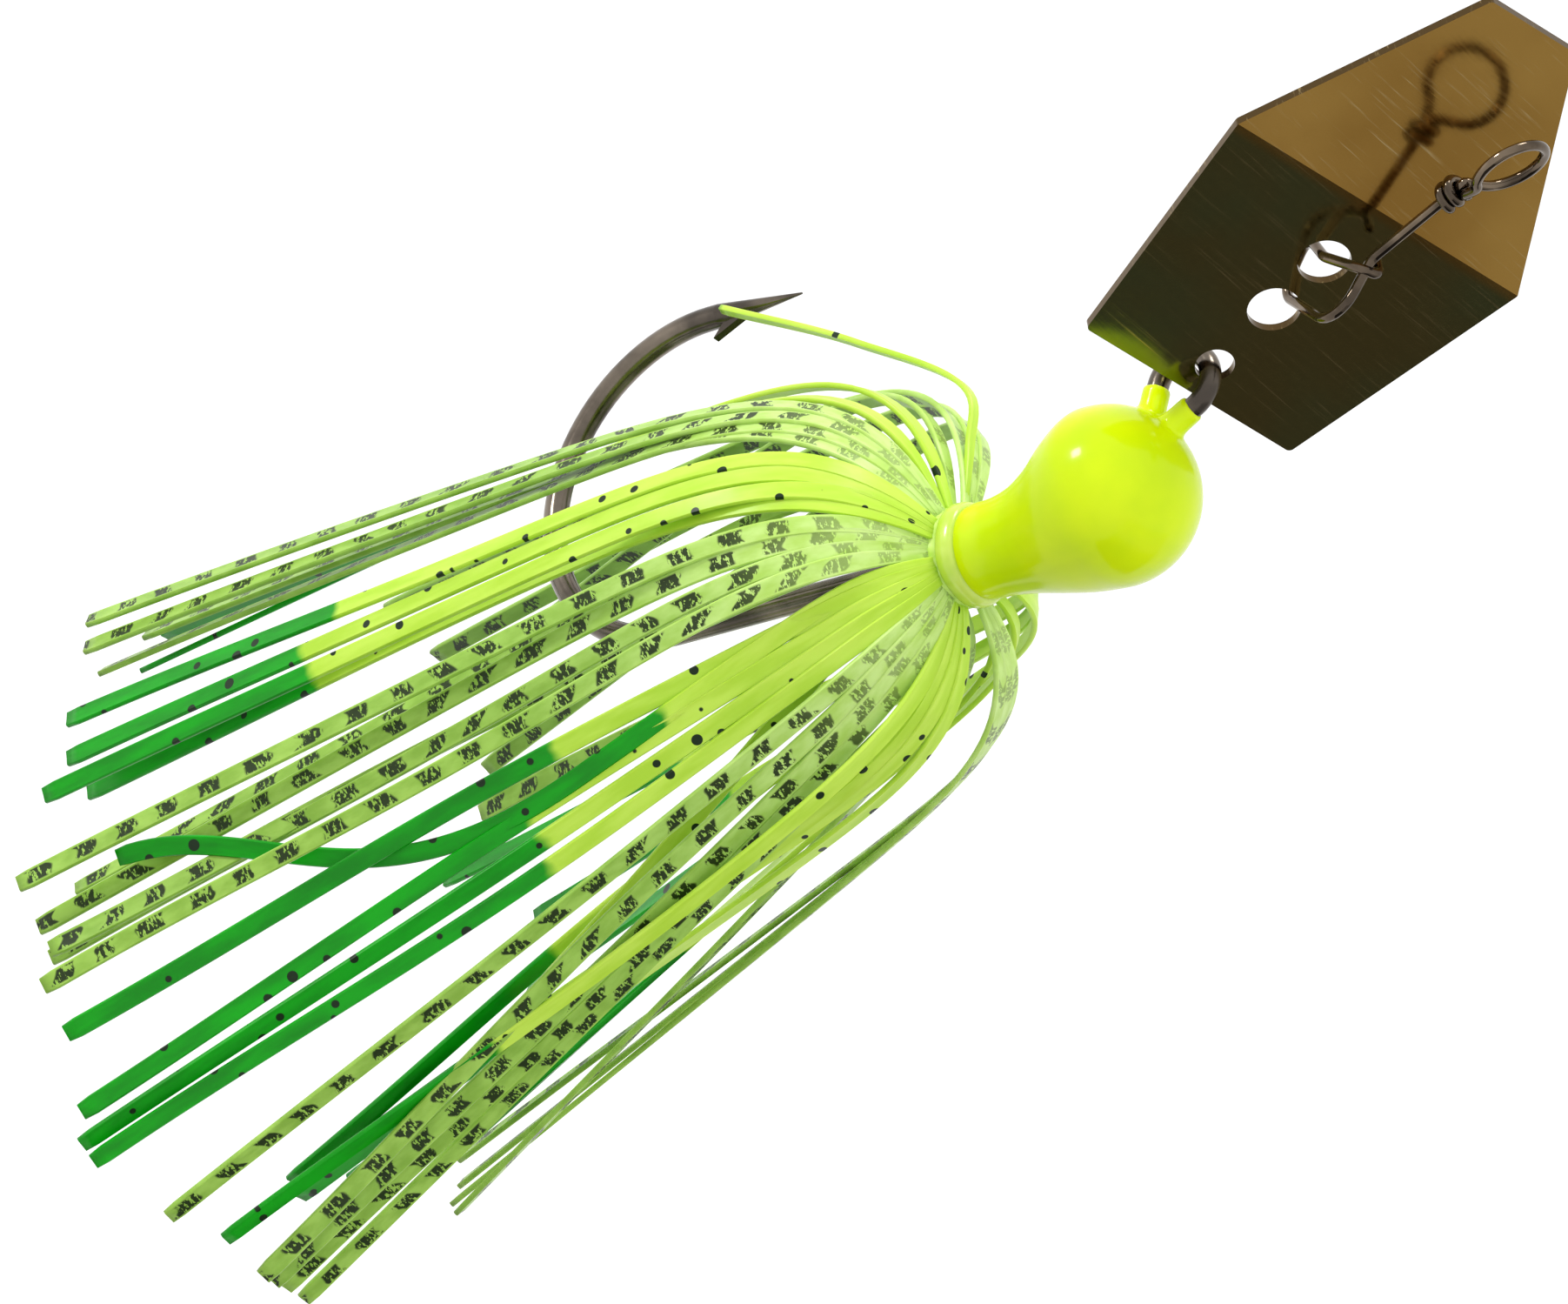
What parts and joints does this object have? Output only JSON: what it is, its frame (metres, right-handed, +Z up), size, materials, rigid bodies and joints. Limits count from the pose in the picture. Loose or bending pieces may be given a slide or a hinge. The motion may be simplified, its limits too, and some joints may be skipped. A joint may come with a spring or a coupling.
{
  "type": "bladed jig",
  "caption": "Fishing lure: lead-headed hook with a silicone skirt behind a bent, hinged vibrating blade and a wire line-tie snap.",
  "frame": {"origin": "centre of the line-tie eye at the top of the snap, where the fishing line holds the lure", "axes": "+Z up the line, so the lure hangs down -Z; the hook lies in a plane parallel to XZ with its point to -X; +Y completes the right-handed frame, across the hook"},
  "size_m": [0.0544, 0.0553, 0.1091],
  "materials": {
    "snap_wire": "bright black-nickel spring wire",
    "blade_metal": "lightly brushed mirror-plated sheet",
    "hook_metal": "black nickel",
    "head_paint": "glossy fluorescent chartreuse powder paint over lead",
    "band_rubber": "translucent",
    "barred_silicone": "pearl chartreuse silicone with ragged black bars",
    "speckled_silicone": "translucent chartreuse silicone, black flecks, green tips"
  },
  "bodies": {
    "snap": {"line_tie_snap": "snap_wire"},
    "blade": {"blade": "blade_metal"},
    "jig": {"barred_strand_01": "barred_silicone", "barred_strand_02": "barred_silicone", "barred_strand_03": "barred_silicone", "barred_strand_04": "barred_silicone", "barred_strand_05": "barred_silicone", "barred_strand_06": "barred_silicone", "barred_strand_07": "barred_silicone", "barred_strand_08": "barred_silicone", "barred_strand_09": "barred_silicone", "barred_strand_10": "barred_silicone", "barred_strand_11": "barred_silicone", "barred_strand_12": "barred_silicone", "barred_strand_13": "barred_silicone", "barred_strand_14": "barred_silicone", "barred_strand_15": "barred_silicone", "barred_strand_16": "barred_silicone", "barred_strand_17": "barred_silicone", "barred_strand_18": "barred_silicone", "barred_strand_19": "barred_silicone", "barred_strand_20": "barred_silicone", "barred_strand_21": "barred_silicone", "barred_strand_22": "barred_silicone", "barred_strand_23": "barred_silicone", "barred_strand_24": "barred_silicone", "hook": "hook_metal", "lead_head": "head_paint", "loose_strand": "speckled_silicone", "skirt_band": "band_rubber", "skirt_hub": "speckled_silicone", "speckled_strand_01": "speckled_silicone", "speckled_strand_02": "speckled_silicone", "speckled_strand_03": "speckled_silicone", "speckled_strand_04": "speckled_silicone", "speckled_strand_05": "speckled_silicone", "speckled_strand_06": "speckled_silicone", "speckled_strand_07": "speckled_silicone", "speckled_strand_08": "speckled_silicone", "speckled_strand_09": "speckled_silicone", "speckled_strand_10": "speckled_silicone", "speckled_strand_11": "speckled_silicone", "speckled_strand_12": "speckled_silicone", "speckled_strand_13": "speckled_silicone", "speckled_strand_14": "speckled_silicone", "speckled_strand_15": "speckled_silicone", "speckled_strand_16": "speckled_silicone", "speckled_strand_17": "speckled_silicone", "speckled_strand_18": "speckled_silicone", "speckled_strand_19": "speckled_silicone", "speckled_strand_20": "speckled_silicone", "speckled_strand_21": "speckled_silicone", "speckled_strand_22": "speckled_silicone"}
  },
  "joints": [
    {"name": "snap_swing", "type": "hinge", "parent": "snap", "child": "blade", "pos_m": [-0.00284, 0.00092, -0.0153], "axis": [0.1657, 0.9744, 0.1519], "range_deg": [-70, 5]},
    {"name": "blade_wobble", "type": "hinge", "parent": "blade", "child": "jig", "pos_m": [-0.00243, 0.00202, -0.02283], "axis": [1, 0, 0], "range_deg": [-30, 30]}
  ]
}
